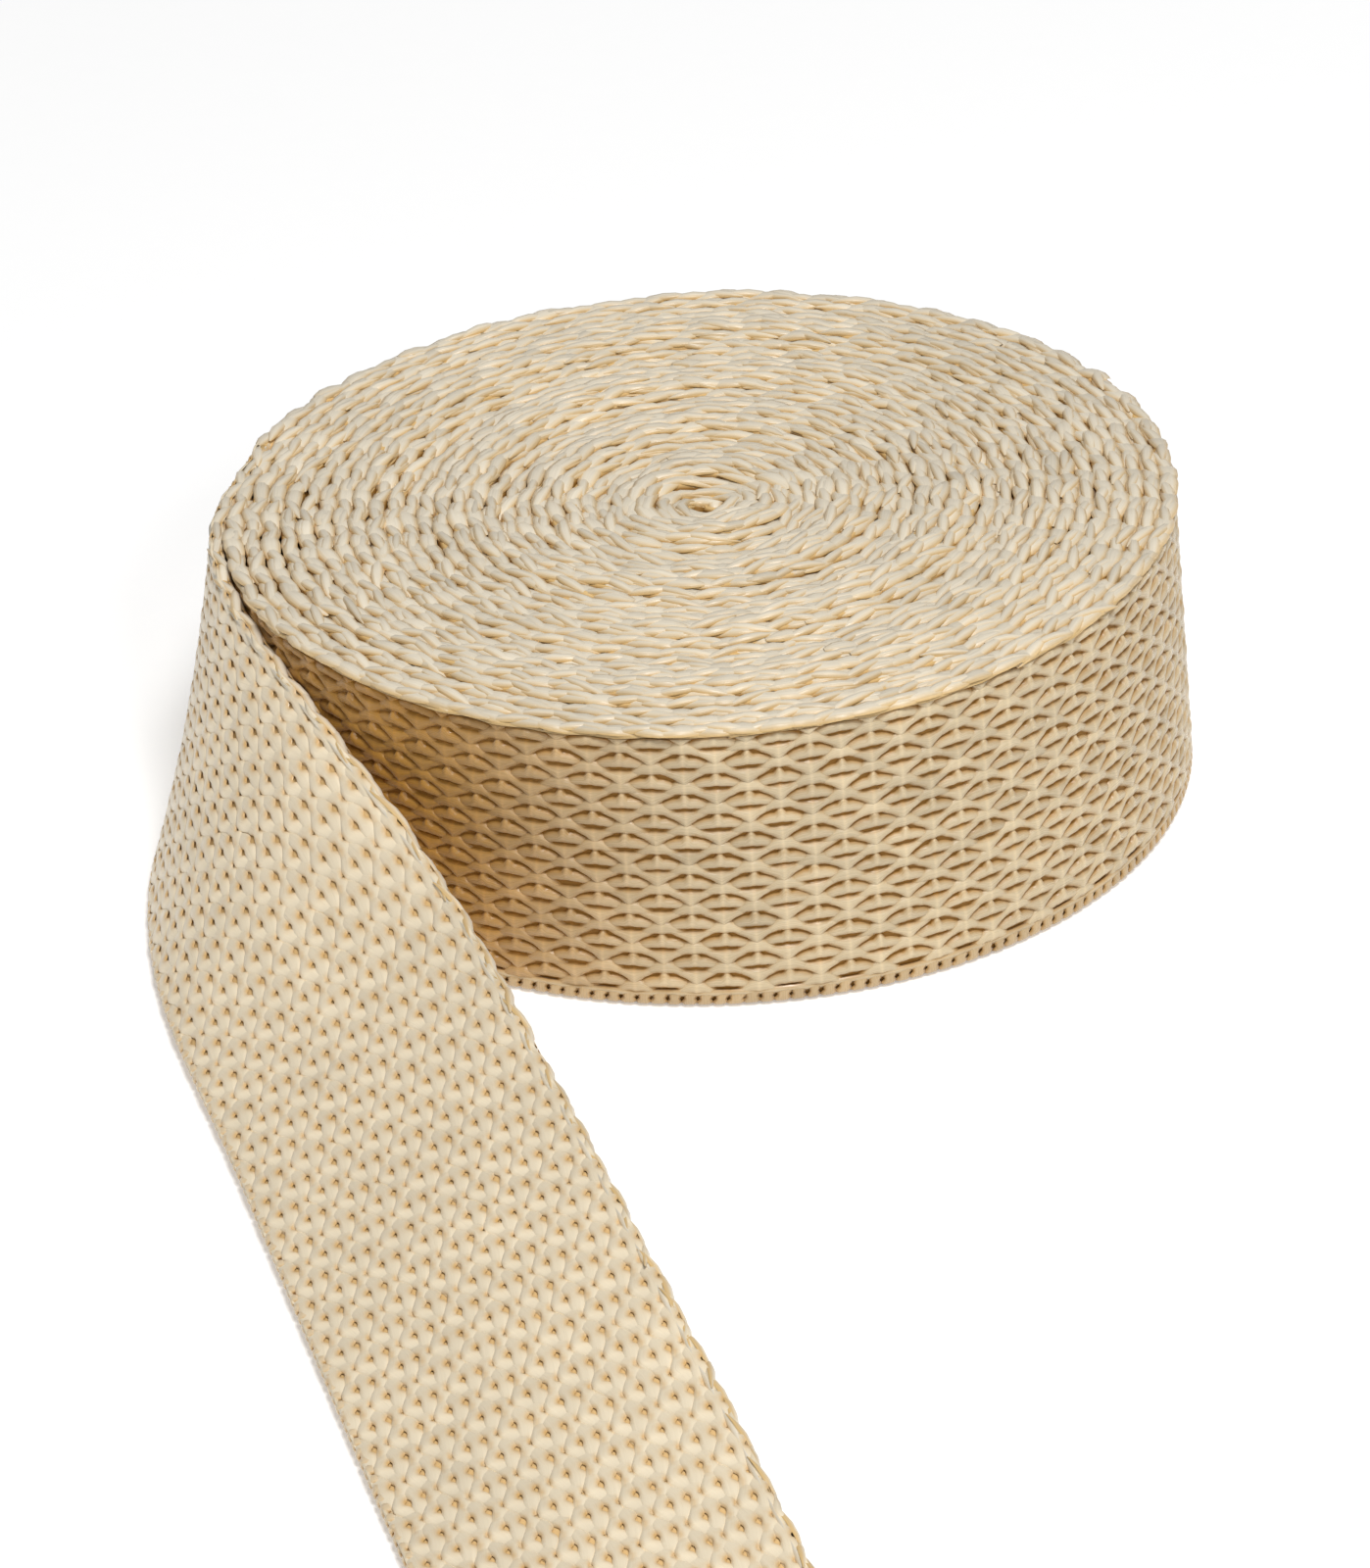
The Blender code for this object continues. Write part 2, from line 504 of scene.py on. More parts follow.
# Painted shade: warm dark spots painted into the weave's pits over one repeat of the wall.
WALL_PIT_SHADE = in_metres(
    # out, above the row, half length, half height, painted shade strength
    (0.00, 0.82, 0.30, 0.14, 0.45),
    (-0.55, 0.72, 0.36, 0.26, 0.95),
    (0.58, 0.73, 0.36, 0.26, 0.95),
    (-1.05, 0.56, 0.40, 0.22, 0.80),
    (1.08, 0.56, 0.40, 0.22, 0.80),
    (-1.55, 0.36, 0.40, 0.20, 0.65),
    (1.55, 0.36, 0.40, 0.20, 0.65),
    (0.00, -0.48, 0.60, 0.20, 0.90),
    (-0.65, -0.48, 0.40, 0.22, 0.90),
    (0.65, -0.48, 0.40, 0.22, 0.90),
    plain=1,
)
# Painted shade: warm dark spots painted into the weave's pits over one repeat of the loose end.
LOOSE_PIT_SHADE = in_metres(
    # out, above the row, half length, half height, painted shade strength
    (0.00, 0.66, 0.60, 0.36, 1.00),
    (0.60, 0.90, 0.65, 0.20, 0.65),
    (-0.08, -0.60, 0.55, 0.32, 1.00),
    (-0.05, -1.90, 0.50, 0.22, 0.80),
    plain=1,
)


@dataclass
class YarnMesh:
    """Points, faces and yarn values of many like strands, gathered into one mesh."""

    name: str
    points: np.ndarray
    quads: np.ndarray
    along: np.ndarray
    fibre: np.ndarray
    tone_and_highlight: np.ndarray
    painted_shading: np.ndarray

    def make(self, material: bpy.types.Material) -> bpy.types.Object:
        """Build the object.

        Args:
            material: Finish of the strands.

        Returns:
            The object, linked to the scene.
        """
        mesh = bpy.data.meshes.new(self.name)
        mesh.vertices.add(len(self.points))
        mesh.vertices.foreach_set("co", self.points.astype(np.float32).ravel())
        mesh.loops.add(self.quads.size)
        mesh.loops.foreach_set("vertex_index", self.quads.astype(np.int32).ravel())
        mesh.polygons.add(len(self.quads))
        mesh.polygons.foreach_set("loop_start", np.arange(0, self.quads.size, 4, dtype=np.int32))
        mesh.update(calc_edges=True)
        mesh.validate()
        # The shading value carries painted light and shade; the tone carries random tone and a
        # painted crest highlight.
        for label, kind, key, values in (
            ("fibre", "FLOAT_VECTOR", "vector", self.fibre),
            ("tone_and_highlight", "FLOAT", "value", self.tone_and_highlight),
            ("painted_shading", "FLOAT", "value", self.painted_shading),
            ("pale", "FLOAT", "value", paleness(self.along)),
        ):
            layer = mesh.attributes.new(label, kind, "POINT")
            layer.data.foreach_set(key, values.astype(np.float32).ravel())
        mesh.shade_smooth()
        mesh.materials.append(material)
        piece = bpy.data.objects.new(self.name, mesh)
        bpy.context.scene.collection.objects.link(piece)
        return piece


def grid_quads(count: int, rows: int, columns: int, ring: bool = False) -> np.ndarray:
    """List the faces of many like grids of points.

    Args:
        count: Number of grids.
        rows: Points along each grid.
        columns: Points across each grid.
        ring: Whether the columns close on themselves.

    Returns:
        Four point numbers a face, facing along × across.
    """
    across = columns if ring else columns - 1
    i, j = np.meshgrid(np.arange(rows - 1), np.arange(across), indexing="ij")
    after = (j + 1) % columns
    one = np.stack(
        [i * columns + j, (i + 1) * columns + j, (i + 1) * columns + after, i * columns + after], -1
    ).reshape(-1, 4)
    shifts = np.arange(count) * rows * columns
    return (one[None] + shifts[:, None, None]).reshape(-1, 4)


@dataclass
class FloatField:
    """The floats of one face over a stretch of the webbing."""

    gauge: WeaveGauge
    first: float
    last: float
    face: Face
    seed: int
    rows: range = range(-1, 9)
    rows_out: tuple[float, ...] = (0.0, 0.06, 0.12, 0.20, 0.36, 0.56, 0.79, 1.0)
    steps_across: int = 7
    shaded_below: tuple[float, float] = (0.06, 0.10)
    lit_above: tuple[float, float] = (0.40 * MM, 0.20 * MM)
    lowest: float = 0.0009
    highest: float = 0.02430
    margin: float = 0.00090
    # Angles round the roll over which painted shade darkens the wall beside the loose end.
    nook: tuple[float, float] = (0.0, 0.0)
    cut: float = math.inf
    length_spread: float = 0.04
    width_spread: float = 0.05
    relief_spread: float = 0.02
    shift_spread: float = 0.05 * MM
    row_spread: float = 0.04 * MM
    tilt_spread: float = 0.05 * MM
    fall_power: float = 2.6

    def painted_pit_light_at(self, along: np.ndarray, across: np.ndarray, pits: Rows) -> np.ndarray:
        """Give the painted shade of the weave's pits: 0 down in its pits, 1 away from them.

        Args:
            along: Places along the webbing.
            across: Places across its width.
            pits: Places, sizes and painted shade strengths of the pits of one repeat.

        Returns:
            The shares.
        """
        gauge = self.gauge
        count = np.interp(along, gauge.places, gauge.counts)
        top = np.interp(along, gauge.places, gauge.top_rows)
        shift = 0 if self.face is Face.OUTER else 1
        light = np.ones_like(count)
        for out, rise, half_length, half_height, painted_shading in pits:
            column = np.round((count - out / gauge.repeat) * 2.0)
            away = (count - column / 2.0) * gauge.repeat - out
            level = across - top - rise + (column + shift) % 2 * gauge.row_repeat / 2
            level = level - np.round(level / gauge.row_repeat) * gauge.row_repeat
            pit = np.exp(-((away / half_length) ** 2) - (level / half_height) ** 2)
            light = np.minimum(light, 1.0 - painted_shading * pit)
        return light

    def painted_nook_shade_at(self, along: np.ndarray) -> np.ndarray:
        """Give how much painted shade darkens the wall beside the loose end.

        Args:
            along: Places along the webbing.

        Returns:
            The shares.
        """
        start, end = self.nook
        if start >= end:
            return np.zeros_like(along)
        turn = self.gauge.course.turn_at(along)
        angle = self.gauge.course.departure + FULL_TURN * (turn + 1.0)
        return 1.0 - smooth_step((angle - start) / (end - start))

    def centres(self, form: FloatForm) -> tuple[np.ndarray, np.ndarray]:
        """List the middles of one kind of float.

        Args:
            form: Kind of float.

        Returns:
            Column counts and places across the width.
        """
        counts: list[float] = []
        acrosses: list[float] = []
        start = math.ceil(self.gauge.count_at(self.first) * 2.0)
        stop = math.floor(self.gauge.count_at(self.last) * 2.0)
        shift = 0 if self.face is Face.OUTER else 1
        for half in range(start, stop + 1):
            top = np.interp(half / 2.0, self.gauge.counts, self.gauge.top_rows)
            top -= (half + shift) % 2 * self.gauge.row_repeat / 2
            for row in self.rows:
                across = top - row * self.gauge.row_repeat
                if self.lowest < across + form.middle() < self.highest:
                    counts.append(half / 2.0)
                    acrosses.append(across)
        return np.array(counts), np.array(acrosses)

    def build(self, wound: FloatForm, loose: FloatForm, name: str) -> YarnMesh:
        """Shape every float of one kind.

        Args:
            wound: The kind's form on the roll.
            loose: The kind's form on the loose end.
            name: Name of the mesh.

        Returns:
            The mesh.
        """
        rng = np.random.default_rng(self.seed)
        counts, acrosses = self.centres(wound if self.first < 0.0 else loose)
        number = len(counts)
        change = paleness(self.gauge.along_of(counts))[:, None, None]

        def mixed(on_roll: np.ndarray | float, on_loose_end: np.ndarray | float) -> np.ndarray:
            """Mix a value of the two forms by each float's place."""
            return on_roll + (on_loose_end - on_roll) * change

        along_share = np.array(self.rows_out)
        along_share = np.concatenate([-along_share[:0:-1], along_share])
        side = np.sin(np.linspace(-1.0, 1.0, self.steps_across) * math.pi / 2)
        x, w = np.meshgrid(along_share, side, indexing="ij")
        forms = (wound, loose)
        upper, lower = (
            mixed(*(smooth_column(f.outline, k, np.abs(x) * f.half_length()) for f in forms))
            for k in (1, 2)
        )
        roundness = mixed(wound.roundness, loose.roundness)
        section = (1.0 - np.abs(w) ** roundness) ** (1.0 / roundness)
        ridge_share = mixed(wound.ridge_share, loose.ridge_share)
        ridge = np.sqrt(x**2 + wound.ridge_softness**2) - wound.ridge_softness
        fall = ridge_share * ridge + (1.0 - ridge_share) * np.abs(x) ** self.fall_power
        tip = mixed(wound.tip, loose.tip)
        crest = tip + (mixed(wound.crest, loose.crest) - tip) * (1.0 - fall)
        longer, fatter, shifted, raised, tilted = rng.normal(0.0, 1.0, (5, number, 1, 1))
        half_length = mixed(wound.half_length(), loose.half_length())
        local_x = x * half_length * (1.0 + self.length_spread * longer)
        local_x = local_x + self.shift_spread * shifted
        across = acrosses[:, None, None] + (upper + lower) / 2
        across = across + (upper - lower) / 2 * w * (1.0 + self.width_spread * fatter)
        across = across + self.row_spread * raised + self.tilt_spread * tilted * x
        side_drop = mixed(wound.side_drop, loose.side_drop)
        off = (crest - side_drop * (1.0 - section)) * (1.0 + self.relief_spread * fatter)
        along = np.minimum(self.gauge.along_of(counts)[:, None, None] + local_x, self.cut)
        across = np.clip(across, self.margin, self.gauge.course.width - self.margin)
        along, across, off = np.broadcast_arrays(along, across, off * self.face.value)
        points = self.gauge.course.place(along, across, off).reshape(-1, 3)
        quads = grid_quads(number, len(along_share), self.steps_across)
        if self.face is Face.INNER:
            quads = quads[:, ::-1]
        width = (upper.max() - lower.min()) / 2
        phase = rng.uniform(0.0, 1.0, (number, 1, 1))
        fibre = np.stack(np.broadcast_arrays(along, w * width, phase), -1)
        # Painted highlight: a lighter streak painted along each float's crest, added to its random
        # tone.
        white = mixed(
            *(
                f.painted_highlight * np.exp(-(((local_x - f.painted_highlight_at) / f.painted_highlight_half) ** 2))
                for f in forms
            )
        )
        tone_and_highlight = rng.normal(0.0, 1.0, (number, 1, 1)) + white
        # Painted shade: flanks shaded and crests lit by their height, darker down in the pits and
        # on the wall beside the loose end.
        height = np.abs(off) - self.gauge.course.thickness * mixed(*self.shaded_below)
        painted_pit_light = mixed(*(self.painted_pit_light_at(along, across, pits) for pits in (WALL_PIT_SHADE, LOOSE_PIT_SHADE)))
        painted_shading = smooth_step(height / mixed(*self.lit_above)) * painted_pit_light
        painted_shading = painted_shading * (1.0 - self.painted_nook_shade_at(along))
        return YarnMesh(name, points, quads, along, fibre, tone_and_highlight, painted_shading)


@dataclass
class EdgeStrand:
    """A long strand along an edge that swings from face to face once every repeat."""

    gauge: WeaveGauge
    first: float
    last: float
    middle: float
    swing: float
    phase: float
    half_width: float
    half_height: float
    lift: float = 0.0
    narrowing: float = 0.0
    stand: float = 0.0
    sharpness: float = 0.94
    steps: int = 10
    sides: int = 6
    seed: int = 1
    wander: float = 0.05 * MM
    middle_light: float = 0.80
    side_light: float = 0.4
    corner_shade: float = 0.25

    def build(self, name: str) -> YarnMesh:
        """Shape the strand.

        Args:
            name: Name of the mesh.

        Returns:
            The mesh.
        """
        rng = np.random.default_rng(self.seed)
        begin = self.gauge.count_at(self.first)
        end = self.gauge.count_at(self.last)
        rows = int(round((end - begin) * self.steps)) + 1
        count = np.linspace(begin, end, rows)
        wave = np.cos(2.0 * math.pi * (count - self.phase))
        beat = np.arcsin(self.sharpness * wave) / math.asin(self.sharpness)
        corner = np.abs(beat) ** 3
        knots = np.arange(2 * math.floor(begin), 2 * math.ceil(end) + 2) / 2.0
        drift = np.interp(count, knots, rng.normal(0.0, 1.0, len(knots)))
        rise = np.interp(count, knots, rng.normal(0.0, 1.0, len(knots)))
        angle = np.arange(self.sides) / self.sides * 2.0 * math.pi
        fat = 1.0 - self.narrowing * corner
        centre_off = self.stand + self.swing * beat + self.wander * drift
        centre_across = self.middle + self.lift * beat + self.wander * rise
        off = centre_off[:, None] + (self.half_width * fat)[:, None] * np.cos(angle)
        across = centre_across[:, None] + (self.half_height * fat)[:, None] * np.sin(angle)
        along = np.broadcast_to(self.gauge.along_of(count)[:, None], off.shape)
        points = self.gauge.course.place(along, across, off).reshape(-1, 3)
        quads = grid_quads(1, rows, self.sides, ring=True)
        girth = np.broadcast_to(angle / math.pi * self.half_width, off.shape)
        fibre = np.stack([along, girth, np.zeros_like(off)], -1)
        tone_and_highlight = np.broadcast_to(drift[:, None], off.shape)
        # Painted light and shade: the side that faces out of the webbing's edge is lit, and the
        # strand is shaded where it turns.
        away = np.sin(angle) if self.middle > self.gauge.course.width / 2 else -np.sin(angle)
        light = (self.middle_light + self.side_light * away)[None, :]
        painted_shading = smooth_step(light * (1.0 - self.corner_shade * corner)[:, None])
        return YarnMesh(name, points, quads, along, fibre, tone_and_highlight, painted_shading)


@dataclass
class RimFloats:
    """The short slanting strands that zigzag along the upper edge, two to a repeat."""

    gauge: WeaveGauge
    first: float
    last: float
    per_repeat: int = 2
    half_length: float = 2.25 * MM
    half_width: float = 0.52 * MM
    height: float = 0.34 * MM
    level: float = 0.34 * MM
    slant: float = 0.42 * MM
    pitch: float = 0.22 * MM
    bow: float = 0.22 * MM
    taper: float = 0.86
    phase: float = 0.5
    steps: int = 7
    sides: int = 6
    seed: int = 3
    arc: tuple[float, float] = (-25.0, 205.0)
    girth_power: float = 2.2
    width_spread: float = 0.08
    height_spread: float = 0.06
    length_spread: float = 0.05
    shift_spread: float = 0.10 * MM
    slant_spread: float = 0.4
    off_spread: float = 0.06 * MM
    level_spread: float = 0.07 * MM
    tilt_spread: float = 0.06 * MM
    light_power: float = 1.4
    tip_shade: float = 0.30

    def build(self, name: str) -> YarnMesh:
        """Shape every strand.

        Args:
            name: Name of the mesh.

        Returns:
            The mesh.
        """
        rng = np.random.default_rng(self.seed)
        start = math.ceil(self.gauge.count_at(self.first) * self.per_repeat)
        stop = math.floor(self.gauge.count_at(self.last) * self.per_repeat) - 1
        order = np.arange(start, stop + 1)
        number = len(order)
        sign = np.where(order % 2 == 0, 1.0, -1.0)[:, None, None]
        x = np.sin(np.linspace(-1.0, 1.0, self.steps) * math.pi / 2)[:, None]
        angle = np.radians(np.linspace(*self.arc, self.sides))[None, :]
        fatter, higher, longer, shifted, steeper, moved = rng.normal(0.0, 1.0, (6, number, 1, 1))
        girth = 1.0 - self.taper * np.abs(x) ** self.girth_power
        wide = self.half_width * girth * (1.0 + self.width_spread * fatter)
        high = self.height * girth * (1.0 + self.height_spread * higher)
        along = self.gauge.along_of((order + self.phase) / self.per_repeat)[:, None, None]
        along = along + x * self.half_length * (1.0 + self.length_spread * longer)
        along = along + self.shift_spread * shifted
        off = sign * self.slant * x * (1.0 + self.slant_spread * steeper) + wide * np.cos(angle)
        off = off + self.off_spread * moved
        middle = self.gauge.course.width - self.level + self.level_spread * moved
        lift = -sign * self.pitch * x - self.bow * x**2 + self.tilt_spread * longer * x
        across = middle + lift + high * np.sin(angle)
        along, across, off = np.broadcast_arrays(along, across, off)
        points = self.gauge.course.place(along, across, off).reshape(-1, 3)
        quads = grid_quads(number, self.steps, self.sides)
        girth_place = np.broadcast_to(angle * self.half_width / 2.0, along.shape)
        phase = np.broadcast_to(rng.uniform(0.0, 1.0, (number, 1, 1)), along.shape)
        fibre = np.stack([along, girth_place, phase], -1)
        tone_and_highlight = np.broadcast_to(fatter, along.shape)
        # Painted light and shade: lit on the upper side, shaded below and towards the tips.
        light = np.clip(np.sin(angle), 0.0, 1.0) ** self.light_power
        painted_shading = np.broadcast_to(light * (1.0 - self.tip_shade * np.abs(x) ** 3), along.shape)
        return YarnMesh(name, points, quads, along, fibre, tone_and_highlight, painted_shading)


@dataclass
class FootLoops:
    """The small loops that wrap the lower edge, four to a repeat."""

    gauge: WeaveGauge
    first: float
    last: float
    per_repeat: int = 4
    sides: int = 6
    offset: float = 0.125
    lean: float = 0.34 * MM
    lean_spread: float = 0.3
    width_spread: float = 0.08
    across_spread: float = 0.05
    light_share: float = 0.55
    least_light: float = 0.15
    seed: int = 7
    course_of_loop: Rows = in_metres(
        # across, off, half width along, half thickness
        (1.20, 0.24, 0.62, 0.18),
        (0.95, 0.38, 0.58, 0.20),
        (0.74, 0.38, 0.44, 0.20),
        (0.52, 0.38, 0.60, 0.22),
        (0.34, 0.28, 0.72, 0.22),
        (0.24, 0.04, 0.68, 0.20),
        (0.36, -0.28, 0.60, 0.20),
        (0.95, -0.36, 0.50, 0.18),
    )

    def build(self, name: str) -> YarnMesh:
        """Shape every loop.

        Args:
            name: Name of the mesh.

        Returns:
            The mesh.
        """
        rng = np.random.default_rng(self.seed)
        start = math.ceil(self.gauge.count_at(self.first) * self.per_repeat)
        stop = math.floor(self.gauge.count_at(self.last) * self.per_repeat)
        counts = np.arange(start, stop + 1) / self.per_repeat + self.offset
        number = len(counts)
        course = np.array(self.course_of_loop)
        rings = len(course)
        run = np.gradient(course[:, :2], axis=0)
        run /= np.linalg.norm(run, axis=1, keepdims=True)
        angle = np.arange(self.sides) / self.sides * 2.0 * math.pi
        wide = course[:, 2:3] * np.cos(angle)
        high = course[:, 3:4] * np.sin(angle)
        across = course[:, 0:1] + run[:, 1:2] * high
        off = course[:, 1:2] - run[:, 0:1] * high
        lean = self.lean * (course[:, 0:1] / course[0, 0] - 0.5)
        leaning, fatter, longer = rng.normal(0.0, 1.0, (3, number, 1, 1))
        along = self.gauge.along_of(counts)[:, None, None]
        along = along + lean * (1.0 + self.lean_spread * leaning)
        along = along + wide * (1.0 + self.width_spread * fatter)
        across = across[None] * (1.0 + self.across_spread * longer)
        along, across, off = np.broadcast_arrays(along, across, off[None])
        points = self.gauge.course.place(along, across, off).reshape(-1, 3)
        quads = grid_quads(number, rings, self.sides, ring=True)[:, ::-1]
        fibre = np.stack([across, along, off], -1)
        tone_and_highlight = np.broadcast_to(leaning, along.shape)
        # Painted light and shade: lit on the upper side of each loop, dim below.
        light = np.clip(np.sin(angle), 0.0, 1.0)[None, :] * self.light_share + self.least_light
        painted_shading = np.broadcast_to(light, along.shape)
        return YarnMesh(name, points, quads, along, fibre, tone_and_highlight, painted_shading)


@dataclass
class GroundCloth:
    """The closed strip under the floats, which fills the webbing's body."""

    gauge: WeaveGauge
    first: float
    last: float
    outer_half: float
    inner_half: float
    filled_half: float
    filled_until: float
    step: float = 0.0016
    foot: float = 0.30 * MM
    head: float = 0.40 * MM
    corner: float = 0.30 * MM
    edge_share: float = 0.6
    split: int = 1

    def build(self, name: str) -> YarnMesh:
        """Shape the strip.

        Args:
            name: Name of the mesh.

        Returns:
            The mesh.
        """
        rows = int(math.ceil((self.last - self.first) / self.step)) + 1
        along = np.linspace(self.first, self.last, rows)
        top = self.gauge.course.width - self.head
        sides = np.linspace(self.foot + self.corner, top - self.corner, self.split + 1)
        across = np.concatenate([[self.foot], sides, [top], [top], sides[::-1], [self.foot]])
        share = np.concatenate([[self.edge_share], np.ones(len(sides)), [self.edge_share]])
        outer = np.where(along < self.filled_until, self.filled_half, self.outer_half)
        face = np.concatenate([share, -share * self.inner_half / self.outer_half])
        outward = np.concatenate([np.ones(len(share)), np.zeros(len(share))])
        off = face * (outward * outer[:, None] + (1.0 - outward) * self.outer_half)
        columns = len(across)
        along = np.broadcast_to(along[:, None], (rows, columns))
        across = np.broadcast_to(across, along.shape)
        points = self.gauge.course.place(along, across, off).reshape(-1, 3)
        quads = grid_quads(1, rows, columns, ring=True)
        caps = []
        for base, flip in ((0, False), ((rows - 1) * columns, True)):
            for j in range(columns // 2 - 1):
                cap = [base + j, base + j + 1, base + columns - 2 - j, base + columns - 1 - j]
                caps.append(cap[::-1] if flip else cap)
        quads = np.concatenate([quads, np.array(caps)])
        fibre = np.stack([along, across, off], -1)
        # Painted light: the head of the strip along the upper edge takes the lighter head colour.
        painted_shading = across > top - self.corner / 2
        return YarnMesh(name, points, quads, along, fibre, np.zeros(len(points)), painted_shading)


class Wire:
    """One output of a shader node, with the usual operators on it."""

    def __init__(self, tree: bpy.types.NodeTree, socket: bpy.types.NodeSocket) -> None:
        """Keep the tree and the output."""
        self.tree = tree
        self.socket = socket

    def math(self, operation: str, *others: "Wire | float", clamp: bool = False) -> "Wire":
        """Join this value to others in one Math node.

        Args:
            operation: Name of the sum.
            others: Further values, in order.
            clamp: Whether to keep the result between 0 and 1.

        Returns:
            The result.
        """
        node = self.tree.nodes.new("ShaderNodeMath")
        node.operation = operation
        node.use_clamp = clamp
        for index, value in enumerate((self, *others)):
            if isinstance(value, Wire):
                self.tree.links.new(value.socket, node.inputs[index])
            else:
                node.inputs[index].default_value = value
        return Wire(self.tree, node.outputs[0])

    def __add__(self, other: "Wire | float") -> "Wire":
        """Add."""
        return self.math("ADD", other)

    __radd__ = __add__

    def __sub__(self, other: "Wire | float") -> "Wire":
        """Take away."""
        return self.math("SUBTRACT", other)

    def __rsub__(self, other: float) -> "Wire":
        """Take this away from a number."""
        return self.math("MULTIPLY_ADD", -1.0, other)

    def __mul__(self, other: "Wire | float") -> "Wire":
        """Multiply."""
        return self.math("MULTIPLY", other)

    __rmul__ = __mul__


class Shade:
    """Makes the nodes of one material and hands back their outputs as wires."""

    def __init__(self, name: str) -> None:
        """Start a material with an empty Principled surface.

        Args:
            name: Name of the material.
        """
        self.material = bpy.data.materials.new(name)
        self.material.use_nodes = True
        self.tree = self.material.node_tree
        self.surface = self.tree.nodes["Principled BSDF"]

    def node(self, kind: str, output: int | str, settings: dict, inputs: dict) -> Wire:
        """Add a node.

        Args:
            kind: Type of the node.
            output: Name or number of the output to hand back.
            settings: Settings, made before the sockets are filled.
            inputs: Socket values or wires by socket name or number.

        Returns:
            The output.
        """
        made = self.tree.nodes.new(kind)
        for key, value in settings.items():
            setattr(made, key, value)
        for key, value in inputs.items():
            if isinstance(value, Wire):
                self.tree.links.new(value.socket, made.inputs[key])
            else:
                made.inputs[key].default_value = value
        return Wire(self.tree, made.outputs[output])

    def read(self, attribute: str, output: str = "Fac") -> Wire:
        """Read a value that the mesh carries on its points."""
        return self.node("ShaderNodeAttribute", output, {"attribute_name": attribute}, {})

    def blend(
        self, share: Wire | float, first: Wire | Colour, second: Wire | Colour, mode: str = "MIX"
    ) -> Wire:
        """Mix two colours.

        Args:
            share: How much of the second there is.
            first: A wire, or linear red, green and blue.
            second: The same.
            mode: How the second meets the first.

        Returns:
            The mixed colour.
        """
        settings = {"data_type": "RGBA", "blend_type": mode, "clamp_result": False}
        return self.node(
            "ShaderNodeMix", 2, settings, {0: share, 6: self.rgba(first), 7: self.rgba(second)}
        )

    @staticmethod
    def rgba(colour: Wire | Colour) -> Wire | tuple[float, ...]:
        """Give a colour its fourth value, and leave a wire as it is."""
        return colour if isinstance(colour, Wire) else (*colour, 1.0)

    def noise(self, source: Wire, scale: Axes, detail: float = 2.0) -> Wire:
        """Read a noise that is stretched along each axis.

        Args:
            source: Vector to read it at.
            scale: Scale along each axis.
            detail: Octaves of finer noise in it.

        Returns:
            The noise.
        """
        at = self.node("ShaderNodeVectorMath", 0, {"operation": "MULTIPLY"}, {0: source, 1: scale})
        inputs = {"Vector": at, "Scale": 1.0, "Detail": detail}
        return self.node("ShaderNodeTexNoise", 0, {}, inputs)

    def relief(self, strength: float, height: Wire) -> None:
        """Feed the surface's normal from a height."""
        inputs = {"Strength": strength, "Distance": RELIEF_DISTANCE, "Height": height}
        self.feed("Normal", self.node("ShaderNodeBump", 0, {}, inputs))

    def feed(self, socket: str, value: "Wire | float | tuple") -> None:
        """Set or link one socket of the surface.

        Args:
            socket: Name of the socket.
            value: Its value, or the wire to link.
        """
        if isinstance(value, Wire):
            self.tree.links.new(value.socket, self.surface.inputs[socket])
        else:
            self.surface.inputs[socket].default_value = value


@dataclass(frozen=True)
class YarnFinish:
    """Bright filament yarn, cream on its crests, with painted shade that makes it warm brown where
    it lies deep.
    """

    name: str
    crest: Colour
    shaded_flank: Colour
    pale_crest: Colour
    pale_shaded_flank: Colour
    roughness: float = 0.33
    roughness_swing: float = 0.3
    sheen: float = 0.15
    sheen_roughness: float = 0.4
    streak_share: float = 0.10
    cloud_share: float = 0.16
    tone_share: float = 0.05
    grain: float = 0.5
    streak_scale: Axes = (500.0, 9000.0, 40.0)
    cloud_scale: Axes = (70.0, 70.0, 70.0)
    grain_scale: Axes = (260.0, 14000.0, 60.0)
    crest_easing: float = 0.1

    @classmethod
    def even(cls, name: str, crest: Colour, shaded_flank: Colour) -> "YarnFinish":
        """Give a finish that is the same all along the webbing."""
        return cls(name, crest, shaded_flank, crest, shaded_flank)

    def make(self) -> bpy.types.Material:
        """Build the material.

        Returns:
            The material.
        """
        shade = Shade(self.name)
        fibre = shade.read("fibre", "Vector")
        pale = shade.read("pale")
        place = shade.node("ShaderNodeNewGeometry", "Position", {}, {})
        streak = shade.noise(fibre, self.streak_scale, 3.0) - 0.5
        cloud = shade.noise(place, self.cloud_scale) - 0.5
        # Painted shade: the shading value mixes the shaded flank colour into the crest colour, and
        # pale mixes the wall's darker colours into the loose end's lighter ones.
        rise = shade.read("painted_shading").math("SMOOTH_MIN", 1.0, self.crest_easing, clamp=True)
        shaded_flank = shade.blend(pale, self.shaded_flank, self.pale_shaded_flank)
        crest = shade.blend(pale, self.crest, self.pale_crest)
        # The tone adds random tone and the painted crest highlight.
        level = 1.0 + shade.read("tone_and_highlight") * self.tone_share + streak * self.streak_share * 2.0
        level = level + cloud * self.cloud_share
        grey = shade.node(
            "ShaderNodeCombineColor", 0, {}, {"Red": level, "Green": level, "Blue": level}
        )
        colour = shade.blend(rise, shaded_flank, crest)
        shade.feed("Base Color", shade.blend(1.0, colour, grey, "MULTIPLY"))
        shade.feed("Roughness", self.roughness + streak * self.roughness_swing)
        shade.relief(self.grain, shade.noise(fibre, self.grain_scale))
        shade.feed("Sheen Weight", self.sheen)
        shade.feed("Sheen Roughness", self.sheen_roughness)
        return shade.material


